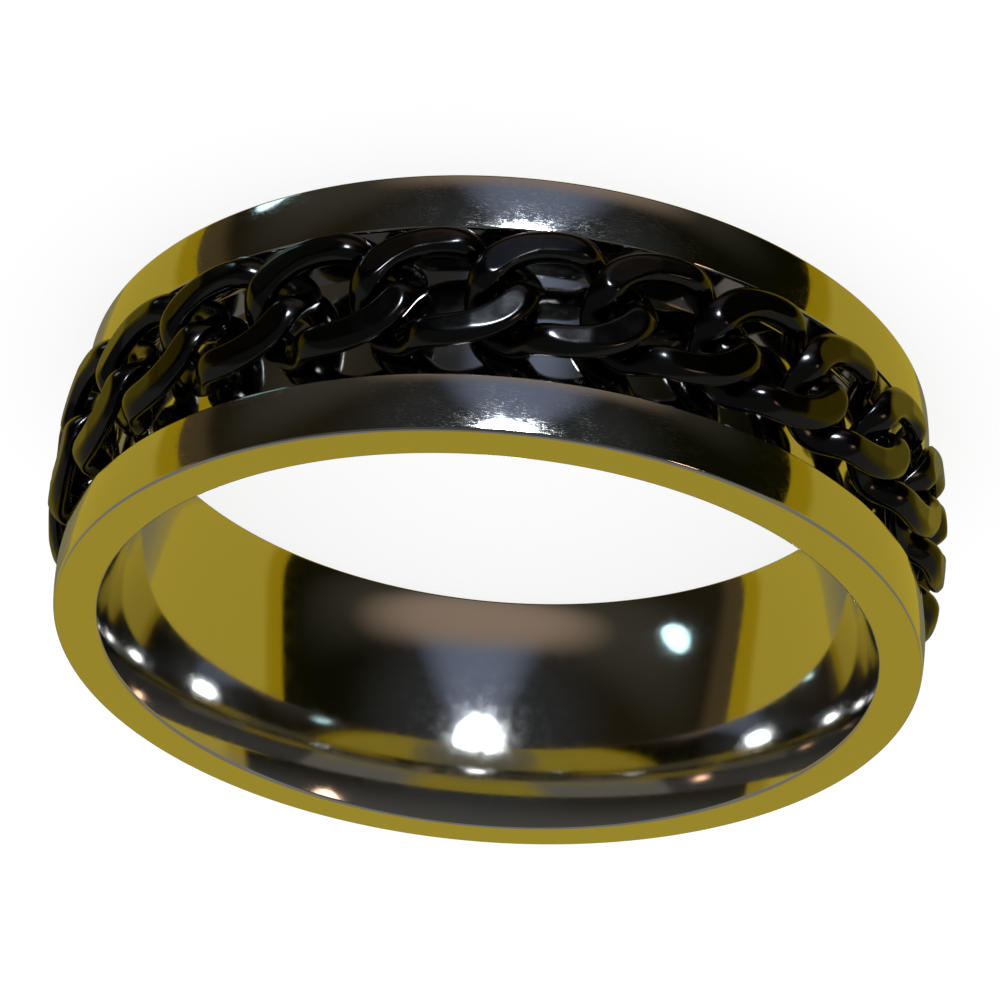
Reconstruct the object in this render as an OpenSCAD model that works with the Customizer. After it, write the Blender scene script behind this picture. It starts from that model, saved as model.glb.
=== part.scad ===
// Chain link ring: a steel band with a groove round its middle, and a closed loop of curb links in the groove.
// The ring lies on its side. Its axis is Z, it rests on z = 0, and lengths are in millimetres.

/* [Band] */
// Diameter of the bore that the finger goes through, in the middle of the band
bore_d = 20.9; // [20:0.1:22]
// Length of the straight stretch in the middle of the bore
bore_land = 1.6; // [0.8:0.1:3]
// How much larger the bore's radius is at the two end faces, so that the inside is domed
bore_flare = 0.65; // [0.3:0.05:0.8]
// Width of the band along the finger
band_w = 8; // [7.4:0.1:10]
// Width of the two flat end faces, from the bore to the rim
face_w = 1.2; // [1.05:0.05:1.6]
// How far the middle of each rim stands proud of its edges
rim_crown = 0.06; // [0.02:0.01:0.1]
// Thickness of the metal under the chain
groove_wall = 0.8; // [0.7:0.01:1]
// Radius that rounds the two outer edges of the band
outer_edge_r = 0.12; // [0.05:0.01:0.3]
// Radius that rounds the two mouths of the bore
bore_edge_r = 0.15; // [0.05:0.01:0.35]
// Chamfer along the two edges of the groove
groove_chamfer = 0.08; // [0.03:0.01:0.2]

/* [Chain] */
// Number of links in the closed loop
link_count = 25; // [22:1:27]
// Width of the chain across the band
chain_w = 3.8; // [3.7:0.1:4.3]
// Width of a link's wire, seen from outside the ring
wire_w = 0.95; // [0.8:0.05:1]
// Thickness of a link's wire, towards the finger
wire_t = 0.66; // [0.5:0.02:0.7]
// How far past the middle of each long side a link's raised lobe reaches, in degrees
lobe_reach = 25; // [10:1:28]
// Depth of the flat faces that are cut into each link's outer side
flat_depth = 0.08; // [0.04:0.01:0.2]

/* [Clearances] */
// Gap between the chain and the groove's lower wall, which the loose loop sinks towards
lower_gap = 0.1; // [0.1:0.01:0.3]
// Gap between the chain and the groove's upper wall
upper_gap = 0.6; // [0.1:0.01:0.7]
// Gap between the chain and the floor of the groove
floor_gap = 0.1; // [0.1:0.01:0.2]
// Gap between two links' wires along the chain, where one hooks into the other
hook_gap = 0.15; // [0.1:0.01:0.25]
// Height between two links' wires where one crosses over the other
cross_gap = 0.26; // [0.24:0.01:0.3]

/* [Hidden] */

band_colour = "silver";
chain_colour = "dimgray";

// Angle of the first link round the ring, seen from above
first_link = -95.5;
// Rings of points along a link's wire
link_rings = 36;
// How steeply the wire changes over from a raised lobe to a lowered one
lobe_steepness = 2;
// Corners of the wire's six-sided section, as shares of its half width and its half thickness. The first lies on
// the outer side of the link, and the upper corners lean towards its eye
wire_corners = [[1, -0.2], [0.35, 1], [-0.7, 1], [-1, 0], [-0.6, -1], [0.6, -1]];
wire_sides = len(wire_corners);

bore_r = bore_d / 2;
mouth_r = bore_r + bore_flare;
outer_r = mouth_r + face_w;
groove_r = bore_r + groove_wall;
groove_w = chain_w + lower_gap + upper_gap;
rim_w = (band_w - groove_w) / 2;
// Height of the chain's middle, as the loop rests
chain_z = rim_w + lower_gap + chain_w / 2;

// Share of a round's radius that it keeps inside the large arc that it meets
round_overlap = 0.99;

// The large arc that opens the bore out towards each end face: its height, its radius and its middle
flare_h = (band_w - bore_land) / 2;
flare_r = arc_radius(flare_h, bore_flare);
flare_middle = [bore_r + flare_r, flare_h];

// The large arc that crowns each rim, and its middle
crest_r = outer_r + rim_crown;
crown_r = arc_radius(rim_w / 2, rim_crown);
crown_middle = [crest_r - crown_r, rim_w / 2];

// Half the height between the middle of a raised lobe and the middle of a lowered one
link_lift = (wire_t + cross_gap) / 2;
// Radius of the loop that the middles of the links lie on, and radius at which the flat faces are cut
chain_r = groove_r + floor_gap + link_lift + wire_t / 2;
flat_r = chain_r + link_lift + wire_t / 2 - flat_depth;
link_angle = 360 / link_count;

// Half the length and half the width of the oval that the middle of the wire follows
link_a = (chain_r * sin(link_angle / 2) + (wire_w + hook_gap) / 2) / cos(link_angle / 2);
link_b = (chain_w - wire_w) / 2;

$fn = 180;

function link_name(number) = str("link_", number < 10 ? "0" : "", number);

function unit(v) = v / norm(v);

// Radius of an arc that falls away by a drop over half its chord
function arc_radius(half_chord, drop) = (half_chord ^ 2 + drop ^ 2) / (2 * drop);

function steep(x) = (exp(x) - exp(-x)) / (exp(x) + exp(-x));

// Height of the wire's middle, up in two lobes at opposite corners of the link and down at the other two
function lobe_wave(u) = sin(2 * u + 2 * lobe_reach * sin(u) ^ 2);
function lobe_height(u) = -link_lift * steep(lobe_steepness * lobe_wave(u)) / steep(lobe_steepness);

// A point on the wire's middle: along the chain, across the band, and outwards from the finger
function wire_middle(u) = [link_a * cos(u), link_b * sin(u), lobe_height(u)];

// The wire's own directions: along it, level across it, and square to both
function wire_run(u) = unit(wire_middle(u + 1) - wire_middle(u - 1));
function wire_across(u) = unit([wire_run(u)[1], -wire_run(u)[0], 0]);
function wire_up(u) = cross(wire_across(u), wire_run(u));

// Height of the flat faces: one is square to the middle of the link, the others lie over its two joints
function flat_height(along) = min(
    flat_r - chain_r,
    (flat_r - abs(along) * sin(link_angle / 2)) / cos(link_angle / 2) - chain_r
);
function cut_flat(point) = [point[0], point[1], min(point[2], flat_height(point[0]))];

function wire_corner(u, corner) = cut_flat(
    wire_middle(u) + wire_across(u) * corner[0] * wire_w / 2 + wire_up(u) * corner[1] * wire_t / 2
);

// Number of the point at one corner of one ring, counted on past the last ring and the last corner
function point_number(ring, corner) = (ring % link_rings) * wire_sides + corner % wire_sides;

// Draws one half of a shape in the band's section, and its mirror image beyond the middle of the band
module both_halves() {
    children();
    translate([0, band_w]) mirror([0, 1]) children();
}

// One rim, with its crowned outer side
module rim() {
    intersection() {
        translate([bore_r, 0]) square([crest_r - bore_r, rim_w]);
        translate(crown_middle) circle(crown_r);
    }
}

// What is cut away so that the bore opens out towards the end face
module flare_waste() {
    difference() {
        translate([bore_r - bore_flare, -bore_flare]) square([2 * bore_flare, flare_h + bore_flare]);
        translate(flare_middle) circle(flare_r);
    }
}

// What is cut away to round the corner between the end face and a large arc. Side is 1 where the metal's corner
// points away from the ring's axis and -1 where it points towards it. The round reaches a trace past the large arc,
// so that the two cross and leave no sliver where they meet
module corner_waste(arc_middle, arc_r, side, size) {
    reach = arc_r - size * round_overlap;
    centre = [arc_middle[0] + side * sqrt(reach ^ 2 - (arc_middle[1] - size) ^ 2), size];
    outside = arc_middle + unit(centre - arc_middle) * (arc_r + size);
    difference() {
        polygon([centre, [centre[0], -size], [outside[0], -size], outside]);
        translate(centre) circle(size);
    }
}

// What is cut away for the chamfer along the groove
module chamfer_waste() {
    translate([outer_r - groove_chamfer / 2, rim_w - groove_chamfer / 2])
        rotate(45)
            translate([0, -2 * groove_chamfer])
                square([2 * groove_chamfer, 4 * groove_chamfer]);
}

// Two rims, and the metal under the chain that joins them
module band() {
    color(band_colour) rotate_extrude() difference() {
        union() {
            both_halves() rim();
            translate([bore_r, rim_w / 2]) square([groove_wall, band_w - rim_w]);
        }
        both_halves() flare_waste();
        both_halves() corner_waste(flare_middle, flare_r, -1, bore_edge_r);
        both_halves() corner_waste(crown_middle, crown_r, 1, outer_edge_r);
        both_halves() chamfer_waste();
    }
}

// One link: along the chain is X, across the band is Y, and outwards is Z
module curb_link() {
    polyhedron(
        points = [
            for (ring = [0 : link_rings - 1], corner = wire_corners)
                wire_corner(360 * ring / link_rings, corner)
        ],
        faces = [
            for (ring = [0 : link_rings - 1], corner = [0 : wire_sides - 1], half = [0, 1])
                half == 0
                    ? [
                        point_number(ring, corner),
                        point_number(ring, corner + 1),
                        point_number(ring + 1, corner + 1)
                    ]
                    : [
                        point_number(ring, corner),
                        point_number(ring + 1, corner + 1),
                        point_number(ring + 1, corner)
                    ]
        ],
        convexity = 6
    );
}

// Stands a link up in the groove at its place round the ring
module placed_link(number) {
    color(chain_colour)
        rotate([0, 0, first_link + (number - 1) * link_angle])
            translate([chain_r, 0, chain_z])
                rotate([0, 90, 0])
                    rotate([0, 0, -90])
                        curb_link();
}

band();
for (number = [1 : link_count])
    placed_link(number);
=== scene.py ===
"""Chain link ring: a polished steel band, and a closed loop of black curb links in the groove round it."""

import math

import bmesh
import bpy
from mathutils import Matrix, Vector


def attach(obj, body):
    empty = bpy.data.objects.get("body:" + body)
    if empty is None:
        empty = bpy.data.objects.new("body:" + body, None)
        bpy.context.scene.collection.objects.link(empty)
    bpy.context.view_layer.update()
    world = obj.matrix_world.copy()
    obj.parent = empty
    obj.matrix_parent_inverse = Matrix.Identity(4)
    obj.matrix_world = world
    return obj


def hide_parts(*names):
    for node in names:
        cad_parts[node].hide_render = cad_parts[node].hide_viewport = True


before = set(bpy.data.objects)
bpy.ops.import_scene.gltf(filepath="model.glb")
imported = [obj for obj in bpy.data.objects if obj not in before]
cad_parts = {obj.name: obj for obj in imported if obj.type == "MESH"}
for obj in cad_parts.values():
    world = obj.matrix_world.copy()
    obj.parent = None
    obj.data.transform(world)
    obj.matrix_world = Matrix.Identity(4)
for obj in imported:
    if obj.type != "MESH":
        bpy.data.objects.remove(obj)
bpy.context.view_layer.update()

MM = 0.001

# The band's sizes, in millimetres, as in the source of the solids
BAND_W = 8.0
BORE_R = 10.45
BORE_FLARE = 0.65
FACE_W = 1.2
RIM_W = 1.75
RIM_CROWN = 0.06
GROOVE_R = 11.25
OUTER_EDGE_R = 0.12
BORE_EDGE_R = 0.15
GROOVE_EDGE_R = 0.1
GROOVE_CORNER_R = 0.12
MOUTH_R = BORE_R + BORE_FLARE
OUTER_R = MOUTH_R + FACE_W
MIDDLE = BAND_W / 2
# Shares of the bore's flare that grow with the square and with the fourth power of the height
DOME_SQUARE = 0.81
DOME_FOURTH = 0.19

# The chain's sizes, in millimetres and degrees
LINKS = 25
CHAIN_W = 3.8
WIRE_W = 0.95
WIRE_T = 0.66
LOBE_REACH = 25
LOBE_STEEPNESS = 2
FLAT_DEPTH = 0.08
LOWER_GAP = 0.1
FLOOR_GAP = 0.1
HOOK_GAP = 0.15
CROSS_GAP = 0.26
FIRST_LINK = -95.5
# How unevenly the loose links lie, in degrees, and how that changes from link to link, in radians
LINK_TILT = 1.5
ROLL_STEP = 2.4
SWING_STEP = 3.9
SWING_START = 1
CHAIN_Z = RIM_W + LOWER_GAP + CHAIN_W / 2
LINK_ANGLE = 360 / LINKS
HALF_ANGLE = math.radians(LINK_ANGLE / 2)
LINK_LIFT = (WIRE_T + CROSS_GAP) / 2
CHAIN_R = GROOVE_R + FLOOR_GAP + LINK_LIFT + WIRE_T / 2
FLAT_R = CHAIN_R + LINK_LIFT + WIRE_T / 2 - FLAT_DEPTH
LINK_A = (CHAIN_R * math.sin(HALF_ANGLE) + (WIRE_W + HOOK_GAP) / 2) / math.cos(HALF_ANGLE)
LINK_B = (CHAIN_W - WIRE_W) / 2

# How finely the pieces are divided
BAND_STEPS = 512
BORE_STEPS = 26
FACE_STEPS = 6
CROWN_STEPS = 14
ROUND_STEPS = 8
CORNER_STEPS = 5
LINK_RINGS = 144
WIRE_TOP_STEPS = 40
WIRE_LOW_STEPS = 14
# How often the search for the place where the bore meets its round halves the range
HALVINGS = 40

# The power of the wire's section: 2 is an oval, and more is squarer
WIRE_ROUNDNESS = 2.2
# Height over which the edge of a flat is rounded, in millimetres, and how far the flats fall away to both
# sides of the chain, in degrees
FLAT_EDGE = 0.05
FLAT_LEAN = 4
# How much narrower the wire's section is at its top, and how far its top leans towards the link's eye
TOP_NARROWING = 0.3
TOP_LEAN = 0.175

# The scratches on the rims: which way they run in degrees, their length and width in millimetres, how few
# they are, and how deep they are as a share of the full relief
STROKES = [
    (20, 0.13, 0.013, 0.64, 0.03),
    (75, 0.12, 0.012, 0.65, 0.03),
    (-45, 0.17, 0.013, 0.65, 0.03),
    (-4, 0.38, 0.011, 0.66, 0.06),
]
# How softly a scratch fades at its edges, and the roughness that it adds
STROKE_EDGE = 0.08
STROKE_ROUGHNESS = 0.138
# The height of the full relief, in metres, and the fine grain's share of it
RELIEF = 0.0000022
GRAIN = 0.02

# The two metals: their colours, and their roughness from least to most. The steel's is a little higher in the
# bore, on the end faces and in the groove
STEEL = (0.58, 0.57, 0.55, 1.0)
STEEL_ROUGHNESS = (0.045, 0.075)
INSIDE_ROUGHNESS = 0.025
PLATING = (0.042, 0.042, 0.043, 1.0)
PLATING_ROUGHNESS = (0.128, 0.2)

# The tones of the surroundings: on the yellow side, on the dark side, and overhead
YELLOW_EDGE = (0.40, 0.275, 0.006, 1.0)
YELLOW = (0.52, 0.40, 0.042, 1.0)
OLIVE_GREY = (0.2, 0.185, 0.11, 1.0)
DARK = (0.019, 0.015, 0.007, 1.0)
DARKEST = (0.006, 0.006, 0.001, 1.0)
DIM_GREY = (0.030, 0.031, 0.032, 1.0)
DIM_BROWN = (0.055, 0.050, 0.036, 1.0)
BROWN = (0.075, 0.053, 0.022, 1.0)
BLUE_HAZE = (0.17, 0.205, 0.29, 1.0)
BROWN_GLOW = (0.36, 0.265, 0.195, 1.0)
DARK_OVERHEAD = (0.085, 0.085, 0.08, 1.0)
PALE_OVERHEAD = (0.25, 0.245, 0.21, 1.0)
WHITE = (1.0, 1.0, 1.0, 1.0)
# How brightly the pale background lights the floor, how much of that the floor gives back, and its own light
BACKGROUND = 1.08
FLOOR_TONE = (0.26, 0.26, 0.26, 1.0)
FLOOR_LIGHT = 0.78
# Half of the floor's side, in metres
FLOOR_SIZE = 1.5

# The near end of the yellow sheets, and the place in the bore that the near lamp faces, in millimetres
SHEET_NEAR = 10
LAMP_AIM = Vector((-7, 8, MIDDLE))
LAMP_STEPS = 48

# The camera: how far it looks down and is rolled, in radians, its distance in millimetres, and its lens
CAMERA_TILT = 0.52022
CAMERA_ROLL = 3.23003
CAMERA_DISTANCE = 105.38
CAMERA_LENS = 131.26
CAMERA_SENSOR = 36
CAMERA_SHIFT = (0.00323, 0.03677)
CAMERA_CLIP = 0.005


def new_object(name, data):
    piece = bpy.data.objects.new(name, data)
    bpy.context.scene.collection.objects.link(piece)
    return piece


# The band

def bore_drop(z):
    """How far the bore stands out from its middle at a height, and how steeply it opens there."""
    share = (z - MIDDLE) / MIDDLE
    drop = BORE_FLARE * (DOME_SQUARE * share**2 + DOME_FOURTH * share**4)
    slope = BORE_FLARE * (2 * DOME_SQUARE * share + 4 * DOME_FOURTH * share**3) / MIDDLE
    return drop, slope


def bore_point(z):
    """A point of the section on the bore, with its normal: (r, z, normal r, normal z)."""
    drop, slope = bore_drop(z)
    size = math.hypot(1, slope)
    return (BORE_R + drop, z, -1 / size, slope / size)


def arc(centre, radius, start, end, steps):
    """Points of an arc in the section, with normals that point away from its centre."""
    points = []
    for step in range(steps + 1):
        angle = math.radians(start + (end - start) * step / steps)
        across, up = math.cos(angle), math.sin(angle)
        points.append((centre[0] + radius * across, centre[1] + radius * up, across, up))
    return points


def mouth_round():
    """The round between the bore and the end face, and the height at which it meets the bore."""
    low, high = 0.0, 4 * BORE_EDGE_R
    for _ in range(HALVINGS):
        z = (low + high) / 2
        point = bore_point(z)
        if z - point[3] * BORE_EDGE_R < BORE_EDGE_R:
            low = z
        else:
            high = z
    point = bore_point(low)
    centre = (point[0] - point[2] * BORE_EDGE_R, BORE_EDGE_R)
    start = math.degrees(math.atan2(point[3], point[2]))
    return low, arc(centre, BORE_EDGE_R, start % 360, 270, ROUND_STEPS)


def crown_round(crown_middle, crown_r, radius, z):
    """The middle of a round that meets the rim's crown from inside, and the angle where it does."""
    reach = crown_r - radius
    middle = (crown_middle[0] + math.sqrt(reach**2 - (crown_middle[1] - z) ** 2), z)
    angle = math.degrees(math.atan2(middle[1] - crown_middle[1], middle[0] - crown_middle[0]))
    return middle, angle


def half_section():
    """Half of the band's section, from the bore's middle, by the face at z = 0, to the groove's middle."""
    meet, mouth = mouth_round()
    bore = []
    for step in range(BORE_STEPS):
        bore.append(bore_point(MIDDLE + (meet - MIDDLE) * step / BORE_STEPS))
    crown_r = ((RIM_W / 2) ** 2 + RIM_CROWN**2) / (2 * RIM_CROWN)
    crown_middle = (OUTER_R + RIM_CROWN - crown_r, RIM_W / 2)
    edge_middle, edge_angle = crown_round(crown_middle, crown_r, OUTER_EDGE_R, OUTER_EDGE_R)
    groove_middle, groove_angle = crown_round(crown_middle, crown_r, GROOVE_EDGE_R, RIM_W - GROOVE_EDGE_R)
    face = []
    face_start, face_end = mouth[-1][0], edge_middle[0]
    for step in range(1, FACE_STEPS):
        face.append((face_start + (face_end - face_start) * step / FACE_STEPS, 0.0, 0.0, -1.0))
    outer_edge = arc(edge_middle, OUTER_EDGE_R, -90, edge_angle, ROUND_STEPS)
    crown = arc(crown_middle, crown_r, edge_angle, groove_angle, CROWN_STEPS)[1:-1]
    groove_edge = arc(groove_middle, GROOVE_EDGE_R, groove_angle, 90, ROUND_STEPS)
    corner_middle = (GROOVE_R + GROOVE_CORNER_R, RIM_W + GROOVE_CORNER_R)
    corner = []
    for r, z, normal_r, normal_z in arc(corner_middle, GROOVE_CORNER_R, 270, 180, CORNER_STEPS):
        corner.append((r, z, -normal_r, -normal_z))
    floor = [(GROOVE_R, MIDDLE, 1.0, 0.0)]
    return bore + mouth + face + outer_edge + crown + groove_edge + corner + floor


def band_section():
    """The band's whole section: the half, and its mirror image beyond the middle."""
    half = half_section()
    mirrored = []
    for r, z, normal_r, normal_z in reversed(half[1:-1]):
        mirrored.append((r, BAND_W - z, normal_r, -normal_z))
    return half + mirrored


def make_band():
    """Turns the section round the ring's axis, with exact normals, so that the polish mirrors cleanly."""
    section = band_section()
    count = len(section)
    points, normals, faces = [], [], []
    for turn in range(BAND_STEPS):
        angle = 2 * math.pi * turn / BAND_STEPS
        c, s = math.cos(angle), math.sin(angle)
        for r, z, normal_r, normal_z in section:
            points.append((r * c * MM, r * s * MM, z * MM))
            normals.append((normal_r * c, normal_r * s, normal_z))
    for turn in range(BAND_STEPS):
        here, there = turn * count, (turn + 1) % BAND_STEPS * count
        for step in range(count):
            after = (step + 1) % count
            faces.append((here + step, there + step, there + after, here + after))
    mesh = bpy.data.meshes.new("polished_band")
    mesh.from_pydata(points, [], faces)
    mesh.polygons.foreach_set("use_smooth", [True] * len(faces))
    mesh.normals_split_custom_set_from_vertices(normals)
    return new_object("polished_band", mesh)


# The chain

def lobe_height(u):
    """The wire's height, up in lobes at two opposite corners of the link and down at the others."""
    wave = math.sin(2 * u + 2 * math.radians(LOBE_REACH) * math.sin(u) ** 2)
    return -LINK_LIFT * math.tanh(LOBE_STEEPNESS * wave) / math.tanh(LOBE_STEEPNESS)


def wire_middle(u):
    """A point on the middle of a link's wire: along the chain, across the band, and outwards."""
    return Vector((LINK_A * math.cos(u), LINK_B * math.sin(u), lobe_height(u)))


def wire_outline():
    """The wire's section, as shares of its half width and its half thickness."""
    power = 2 / WIRE_ROUNDNESS
    angles = [math.pi * step / WIRE_TOP_STEPS for step in range(WIRE_TOP_STEPS)]
    angles += [math.pi + math.pi * step / WIRE_LOW_STEPS for step in range(WIRE_LOW_STEPS)]
    outline = []
    for angle in angles:
        c, s = math.cos(angle), math.sin(angle)
        across, up = math.copysign(abs(c) ** power, c), math.copysign(abs(s) ** power, s)
        rise = max(up, 0)
        outline.append((across * (1 - TOP_NARROWING * rise) - TOP_LEAN * rise, up))
    return outline


def flat_height(along, across):
    """Height of the flats: one is square to the link's middle, the others lie over its two joints."""
    joint = (FLAT_R - abs(along) * math.sin(HALF_ANGLE)) / math.cos(HALF_ANGLE)
    lean = (abs(across) - LINK_B) * math.tan(math.radians(FLAT_LEAN))
    return min(FLAT_R, joint) - CHAIN_R - lean


def cut_flat(point):
    """Brings a point down to the flats, with a small round at their edges."""
    top = flat_height(point.x, point.y)
    near = max(FLAT_EDGE - abs(point.z - top), 0) / FLAT_EDGE
    height = min(point.z, top) - near**2 * FLAT_EDGE / 4
    return Vector((point.x, point.y, height))


def cut_link():
    """One link: along the chain is X, across is Y, outwards is Z."""
    outline = wire_outline()
    shape = bmesh.new()
    rings = []
    for ring in range(LINK_RINGS):
        u = 2 * math.pi * ring / LINK_RINGS
        run = (wire_middle(u + math.radians(1)) - wire_middle(u - math.radians(1))).normalized()
        across = Vector((run.y, -run.x, 0)).normalized()
        up = across.cross(run)
        middle = wire_middle(u)
        row = []
        for share_w, share_t in outline:
            point = middle + across * share_w * WIRE_W / 2 + up * share_t * WIRE_T / 2
            row.append(shape.verts.new(cut_flat(point)))
        rings.append(row)
    for ring in range(LINK_RINGS):
        here, there = rings[ring], rings[(ring + 1) % LINK_RINGS]
        for step in range(len(outline)):
            after = (step + 1) % len(outline)
            face = shape.faces.new((here[step], here[after], there[after], there[step]))
            face.smooth = True
    bmesh.ops.recalc_face_normals(shape, faces=shape.faces)
    return shape


def link_place(number):
    """Stands a link up in the groove at its place round the ring."""
    turn = Matrix.Rotation(math.radians(FIRST_LINK + (number - 1) * LINK_ANGLE), 4, "Z")
    move = Matrix.Translation((CHAIN_R, 0, CHAIN_Z))
    stand = Matrix.Rotation(math.radians(90), 4, "Y") @ Matrix.Rotation(math.radians(-90), 4, "Z")
    tilt = math.radians(LINK_TILT)
    roll = Matrix.Rotation(tilt * math.sin(ROLL_STEP * number), 4, "X")
    swing = Matrix.Rotation(tilt * math.sin(SWING_STEP * number + SWING_START), 4, "Z")
    return Matrix.Scale(MM, 4) @ turn @ move @ stand @ roll @ swing


def make_links():
    """Makes the pattern link once, and sets a copy of it at each place."""
    shape = cut_link()
    pattern = bpy.data.meshes.new("link_pattern")
    shape.to_mesh(pattern)
    shape.free()
    pieces = []
    for number in range(1, LINKS + 1):
        name = f"cut_link_{number:02d}"
        mesh = pattern.copy()
        mesh.name = name
        mesh.transform(link_place(number))
        pieces.append(new_object(name, mesh))
    bpy.data.meshes.remove(pattern)
    return pieces


# Small helpers for node trees

class Nodes:
    """Adds nodes to a tree in short lines."""

    def __init__(self, tree):
        self.tree = tree
        tree.nodes.clear()

    def add(self, kind, inputs=None, **settings):
        node = self.tree.nodes.new(kind)
        for key, value in settings.items():
            setattr(node, key, value)
        for key, value in (inputs or {}).items():
            self.feed(node.inputs[key], value)
        return node

    def feed(self, socket, value):
        if isinstance(value, bpy.types.NodeSocket):
            self.tree.links.new(value, socket)
        else:
            socket.default_value = value

    def math(self, operation, first, second=0.0):
        node = self.add("ShaderNodeMath", {0: first, 1: second}, operation=operation)
        return node.outputs[0]

    def dot(self, first, second):
        node = self.add("ShaderNodeVectorMath", {0: first, 1: second}, operation="DOT_PRODUCT")
        return node.outputs["Value"]

    def squares(self, first, second):
        """The sum of the squares of two values."""
        return self.math("ADD", self.math("POWER", first, 2.0), self.math("POWER", second, 2.0))

    def ramp(self, value, low, high, to_low=0.0, to_high=1.0):
        """A smooth step of a value between two limits."""
        node = self.add("ShaderNodeMapRange", interpolation_type="SMOOTHSTEP")
        node.inputs["From Min"].default_value = low
        node.inputs["From Max"].default_value = high
        node.inputs["To Min"].default_value = to_low
        node.inputs["To Max"].default_value = to_high
        self.feed(node.inputs["Value"], value)
        return node.outputs["Result"]

    def mix(self, share, first, second):
        node = self.add("ShaderNodeMix", data_type="RGBA")
        for socket, value in zip((node.inputs[0], node.inputs[6], node.inputs[7]), (share, first, second)):
            self.feed(socket, value)
        return node.outputs[2]


# Materials

def ring_place(nodes):
    """A place on the band, unrolled in millimetres: along the rim, up the band and out from the axis."""
    place = nodes.add("ShaderNodeTexCoord").outputs["Object"]
    parts = nodes.add("ShaderNodeSeparateXYZ", {0: place}).outputs
    back = nodes.math("MULTIPLY", parts[1], -1.0)
    angle = nodes.math("ARCTAN2", parts[0], back)
    radius = nodes.math("MULTIPLY", nodes.math("SQRT", nodes.squares(parts[0], parts[1])), 1 / MM)
    along = nodes.math("MULTIPLY", angle, OUTER_R)
    up = nodes.math("MULTIPLY", parts[2], 1 / MM)
    unrolled = nodes.add("ShaderNodeCombineXYZ", {0: along, 1: up, 2: radius}).outputs[0]
    return unrolled, radius


def scratches(nodes, unrolled, turn, length, width, least):
    """Short strokes that run one way, 1 on a stroke and 0 between them."""
    laid = nodes.add("ShaderNodeMapping", {
        "Vector": unrolled,
        "Rotation": (0.0, 0.0, math.radians(turn)),
        "Scale": (1 / length, 1 / width, 1.0),
    }).outputs[0]
    noise = nodes.add("ShaderNodeTexNoise", {"Vector": laid, "Scale": 1.0, "Detail": 1.0}).outputs["Fac"]
    return nodes.ramp(noise, least, least + STROKE_EDGE)


def polished_steel():
    """Neutral polished steel, with fine scratches where the rims have worn."""
    material = bpy.data.materials.new("polished_steel")
    material.use_nodes = True
    nodes = Nodes(material.node_tree)
    unrolled, radius = ring_place(nodes)
    outside = nodes.ramp(radius, OUTER_R - 0.25, OUTER_R - 0.1)
    strokes, relief = 0.0, 0.0
    for turn, length, width, least, depth in STROKES:
        more = scratches(nodes, unrolled, turn, length, width, least)
        strokes = nodes.math("MAXIMUM", strokes, more)
        relief = nodes.math("ADD", relief, nodes.math("MULTIPLY", more, depth))
    worn = nodes.add("ShaderNodeTexNoise", {"Vector": unrolled, "Scale": 0.9, "Detail": 2.0}).outputs["Fac"]
    worn = nodes.ramp(worn, 0.3, 0.62, 0.35, 1.0)
    worn = nodes.math("MULTIPLY", worn, outside)
    share = nodes.math("MULTIPLY", strokes, worn)
    cloud = nodes.add("ShaderNodeTexNoise", {"Vector": unrolled, "Scale": 2.2, "Detail": 4.0}).outputs["Fac"]
    polish = nodes.ramp(cloud, 0.35, 0.7, *STEEL_ROUGHNESS)
    polish = nodes.math("ADD", polish, nodes.ramp(outside, 0.0, 1.0, INSIDE_ROUGHNESS, 0.0))
    rough = nodes.math("ADD", polish, nodes.math("MULTIPLY", share, STROKE_ROUGHNESS))
    grain = nodes.add("ShaderNodeTexNoise", {"Vector": unrolled, "Scale": 14.0, "Detail": 3.0})
    grain = nodes.math("MULTIPLY", grain.outputs["Fac"], GRAIN)
    height = nodes.math("ADD", nodes.math("MULTIPLY", relief, worn), grain)
    bump = nodes.add("ShaderNodeBump", {"Height": height, "Strength": 1.0, "Distance": RELIEF})
    shader = nodes.add("ShaderNodeBsdfPrincipled", {
        "Base Color": STEEL,
        "Metallic": 1.0,
        "Roughness": rough,
        "Normal": bump.outputs["Normal"],
    })
    nodes.add("ShaderNodeOutputMaterial", {"Surface": shader.outputs[0]})
    return material


def black_plating():
    """Black plated metal, with a slightly cloudy gloss."""
    material = bpy.data.materials.new("black_plating")
    material.use_nodes = True
    nodes = Nodes(material.node_tree)
    place = nodes.add("ShaderNodeTexCoord").outputs["Object"]
    cloud = nodes.add("ShaderNodeTexNoise", {"Vector": place, "Scale": 1600.0, "Detail": 5.0}).outputs["Fac"]
    rough = nodes.ramp(cloud, 0.3, 0.75, *PLATING_ROUGHNESS)
    bump = nodes.add("ShaderNodeBump", {"Height": cloud, "Strength": 0.25, "Distance": 0.00003})
    shader = nodes.add("ShaderNodeBsdfPrincipled", {
        "Base Color": PLATING,
        "Metallic": 1.0,
        "Roughness": rough,
        "Normal": bump.outputs["Normal"],
    })
    nodes.add("ShaderNodeOutputMaterial", {"Surface": shader.outputs[0]})
    return material


# The surroundings, which the metal mirrors

def toward(azimuth, up):
    """A direction from its angles. Azimuth 0 looks down under the ring, and up is towards the camera."""
    a, u = math.radians(azimuth), math.radians(up)
    return Vector((-math.cos(u) * math.sin(a), -math.sin(u), -math.cos(u) * math.cos(a)))


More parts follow.
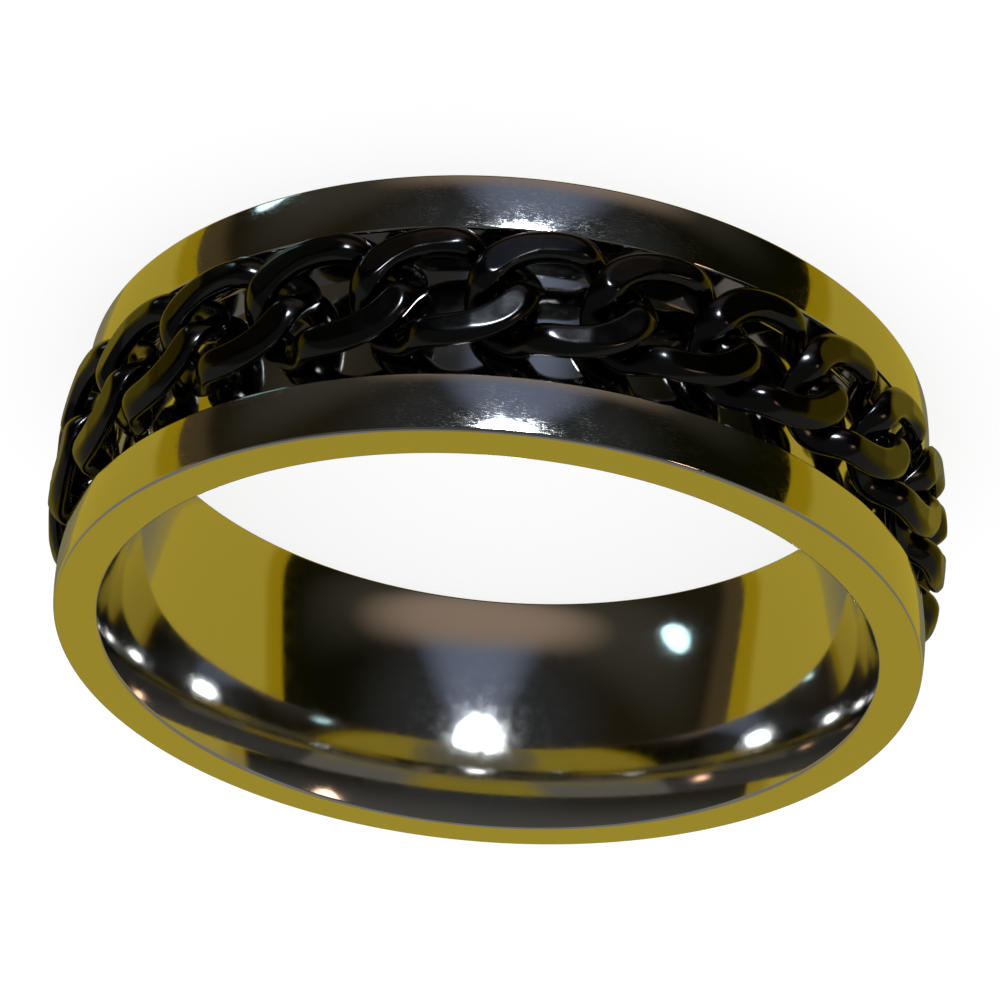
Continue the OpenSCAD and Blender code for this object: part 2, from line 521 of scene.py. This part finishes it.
def surroundings():
    """A pale background, and for mirrored rays alone a dark side, a yellow side and grey overhead."""
    world = bpy.data.worlds.new("surroundings")
    bpy.context.scene.world = world
    world.use_nodes = True
    world.cycles.sampling_method = "NONE"
    nodes = Nodes(world.node_tree)
    sight = nodes.add("ShaderNodeTexCoord").outputs["Generated"]

    def spot(azimuth, up, inner, outer):
        """1 within an angle of a direction, falling smoothly to 0 at a larger angle."""
        share = nodes.dot(sight, toward(azimuth, up))
        return nodes.ramp(share, math.cos(math.radians(outer)), math.cos(math.radians(inner)))

    parts = nodes.add("ShaderNodeSeparateXYZ", {0: sight}).outputs

    def oval(azimuth, up, half_width, half_height):
        """1 at a direction, falling smoothly to 0 at the edge of an upright oval round it."""
        left, forward, high = [nodes.math("MULTIPLY", part, -1.0) for part in (parts[0], parts[2], parts[1])]
        turned = nodes.math("SUBTRACT", nodes.math("ARCTAN2", left, forward), math.radians(azimuth))
        raised = nodes.math("SUBTRACT", nodes.math("ARCSINE", high), math.radians(up))
        across = nodes.math("DIVIDE", turned, math.radians(half_width))
        along = nodes.math("DIVIDE", raised, math.radians(half_height))
        return nodes.ramp(nodes.squares(across, along), 0.0, 1.0, 1.0, 0.0)

    # The dark side, from the darkest tone up
    dark = nodes.mix(nodes.ramp(parts[0], -0.75, 0.1), DARKEST, DARK)
    dark = nodes.mix(spot(1.5, 73, 16, 44), dark, DIM_GREY)
    dark = nodes.mix(oval(-8, 24, 70, 24), dark, DIM_BROWN)
    dark = nodes.mix(oval(3, 54, 27, 44), dark, BLUE_HAZE)
    dark = nodes.mix(oval(2, 31, 40, 18), dark, BROWN_GLOW)
    overhead = nodes.ramp(parts[2], 0.0, 0.3)
    dark = nodes.mix(overhead, dark, DARK_OVERHEAD)
    # The yellow lies below a plane that dips away from the camera and rises to both sides
    dip = nodes.math("MULTIPLY", parts[2], 0.35)
    left = nodes.math("MULTIPLY", nodes.math("MAXIMUM", parts[0], 0.0), 0.05)
    right = nodes.math("MULTIPLY", nodes.math("MINIMUM", parts[0], 0.0), -0.3)
    side = nodes.math("ADD", nodes.math("ADD", parts[1], dip), nodes.math("ADD", left, right))
    yellow = nodes.mix(nodes.ramp(side, 0.08, 0.17), YELLOW_EDGE, YELLOW)
    yellow = nodes.mix(spot(0, -64, 14, 48), yellow, OLIVE_GREY)
    # Overhead it is grey too, but for the patch that the upper end face mirrors towards the camera
    beside_patch = nodes.math("SUBTRACT", 1.0, spot(180, -60, 24, 42))
    yellow = nodes.mix(nodes.math("MULTIPLY", overhead, beside_patch), yellow, PALE_OVERHEAD)
    lit = nodes.mix(nodes.ramp(side, -0.012, 0.012), dark, yellow)

    rays = nodes.add("ShaderNodeLightPath")
    pale = nodes.add("ShaderNodeBackground", {"Color": WHITE, "Strength": BACKGROUND})
    mirrored = nodes.add("ShaderNodeBackground", {"Color": lit, "Strength": 1.0})
    either = nodes.add("ShaderNodeMixShader", {
        0: rays.outputs["Is Glossy Ray"],
        1: pale.outputs[0],
        2: mirrored.outputs[0],
    })
    nodes.add("ShaderNodeOutputWorld", {"Surface": either.outputs[0]})


def only_mirrored(piece):
    """Leaves a piece of the surroundings to the metal's reflections alone."""
    piece.visible_camera = False
    piece.visible_diffuse = False
    piece.visible_transmission = False
    piece.visible_volume_scatter = False
    piece.visible_shadow = False


def glowing(name, build):
    """A material that only gives light, whose colour comes from a function of its node tree."""
    material = bpy.data.materials.new(name)
    material.use_nodes = True
    nodes = Nodes(material.node_tree)
    shader = nodes.add("ShaderNodeEmission", {"Color": build(nodes), "Strength": 1.0})
    nodes.add("ShaderNodeOutputMaterial", {"Surface": shader.outputs[0]})
    return material


def yellow_sheet(name, x, top, slope, bottom, strip, brown):
    """A sheet beside the ring, whose yellow has a sloping edge: darker for a strip along that edge, lighter
    beyond it, and with a brown strip on the edge's other side. Top is where the edge lies along Y at z = 0,
    and all sizes are in millimetres."""
    far = (top - brown - bottom) / slope
    near_top = top - brown - slope * SHEET_NEAR
    corners = [(x, bottom, far), (x, near_top, SHEET_NEAR), (x, bottom, SHEET_NEAR)]
    corners = [Vector(corner) * MM for corner in corners]
    mesh = bpy.data.meshes.new(name)
    mesh.from_pydata(corners, [], [(0, 1, 2)])

    def colour(nodes):
        place = nodes.add("ShaderNodeTexCoord").outputs["Object"]
        parts = nodes.add("ShaderNodeSeparateXYZ", {0: place}).outputs
        edge = nodes.math("ADD", parts[1], nodes.math("MULTIPLY", parts[2], slope))
        depth = nodes.math("SUBTRACT", nodes.math("MULTIPLY", edge, 1 / MM), top)
        above = nodes.mix(nodes.ramp(depth, -brown, -brown / 2), DARK, BROWN)
        yellow = nodes.mix(nodes.ramp(depth, strip * 0.8, strip * 1.3), YELLOW_EDGE, YELLOW)
        return nodes.mix(nodes.ramp(depth, -strip * 0.08, 0.0), above, yellow)

    mesh.materials.append(glowing(name, colour))
    only_mirrored(new_object(name, mesh))


def near_lamp(name, azimuth, up, distance, width, height, brightness, colour):
    """A small oval lamp at a distance from a place in the bore, facing that place."""
    place = LAMP_AIM + toward(azimuth, up) * distance
    mesh = bpy.data.meshes.new(name)
    points = []
    for step in range(LAMP_STEPS):
        angle = 2 * math.pi * step / LAMP_STEPS
        points.append((width / 2 * math.cos(angle) * MM, height / 2 * math.sin(angle) * MM, 0))
    mesh.from_pydata(points, [], [tuple(range(LAMP_STEPS))])
    strong = tuple(brightness * part for part in colour)
    mesh.materials.append(glowing(name, lambda nodes: (*strong, 1.0)))
    lamp = new_object(name, mesh)
    lamp.location = place * MM
    lamp.rotation_mode = "QUATERNION"
    lamp.rotation_quaternion = toward(azimuth, up).to_track_quat("Z", "Y")
    only_mirrored(lamp)


def disc_light(name, azimuth, up, radius, brightness, colour):
    """A far round light that only the metal mirrors."""
    data = bpy.data.lights.new(name, "SUN")
    data.angle = math.radians(2 * radius)
    data.energy = brightness * math.pi * math.sin(math.radians(radius)) ** 2
    data.color = colour
    light = new_object(name, data)
    light.rotation_mode = "QUATERNION"
    light.rotation_quaternion = toward(azimuth, up).to_track_quat("Z", "Y")
    light.visible_diffuse = False


def pale_floor():
    """A plain white floor, softly shaded under the ring, which the metal doesn't mirror."""
    mesh = bpy.data.meshes.new("floor")
    corners = [(FLOOR_SIZE * x, FLOOR_SIZE * y, 0) for x, y in ((-1, -1), (1, -1), (1, 1), (-1, 1))]
    mesh.from_pydata(corners, [], [(0, 1, 2, 3)])
    floor = new_object("floor", mesh)
    material = bpy.data.materials.new("pale_floor")
    material.use_nodes = True
    nodes = Nodes(material.node_tree)
    matte = nodes.add("ShaderNodeBsdfDiffuse", {"Color": FLOOR_TONE})
    lit = nodes.add("ShaderNodeEmission", {"Color": WHITE, "Strength": FLOOR_LIGHT})
    shader = nodes.add("ShaderNodeAddShader", {0: matte.outputs[0], 1: lit.outputs[0]})
    nodes.add("ShaderNodeOutputMaterial", {"Surface": shader.outputs[0]})
    mesh.materials.append(material)
    floor.visible_glossy = False
    floor.visible_shadow = False


# The camera, from the picture's perspective

def make_camera():
    data = bpy.data.cameras.new("camera")
    data.sensor_width = CAMERA_SENSOR
    data.lens = CAMERA_LENS
    data.shift_x, data.shift_y = CAMERA_SHIFT
    data.clip_start = CAMERA_CLIP
    camera = new_object("camera", data)
    ahead = Vector((0, math.cos(CAMERA_TILT), -math.sin(CAMERA_TILT)))
    above = Vector((0, math.sin(CAMERA_TILT), math.cos(CAMERA_TILT)))
    place = Vector((0, 0, MIDDLE)) * MM - ahead * CAMERA_DISTANCE * MM
    axes = Matrix((Vector((1, 0, 0)), above, -ahead)).transposed().to_4x4()
    camera.matrix_world = Matrix.Translation(place) @ axes @ Matrix.Rotation(CAMERA_ROLL, 4, "Z")
    bpy.context.scene.camera = camera


def dress():
    """Lays the finished pieces over the band and the links of the frame."""
    steel = polished_steel()
    plating = black_plating()
    band = make_band()
    band.data.materials.append(steel)
    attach(band, "root")
    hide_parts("band")
    for number, link in enumerate(make_links(), start=1):
        link.data.materials.append(plating)
        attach(link, "root")
        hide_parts(f"link_{number:02d}")


make_camera()
dress()
pale_floor()
surroundings()
disc_light("white_lamp", azimuth=0.2, up=74.2, radius=6.2, brightness=64, colour=(0.85, 0.92, 1.0))
disc_light("orange_lamp", azimuth=110, up=44, radius=4, brightness=5, colour=(1.0, 0.62, 0.42))
near_lamp(
    "cyan_lamp", azimuth=-45.5, up=13.5, distance=130, width=16, height=25, brightness=3,
    colour=(0.6, 0.93, 1.0),
)
yellow_sheet("yellow_sheet_a", x=-60, top=-29.5, slope=0.43, bottom=80, strip=8, brown=0.1)
yellow_sheet("yellow_sheet_b", x=196, top=-47.6, slope=0.5, bottom=240, strip=25, brown=48)
bpy.context.scene.view_settings.view_transform = "Standard"
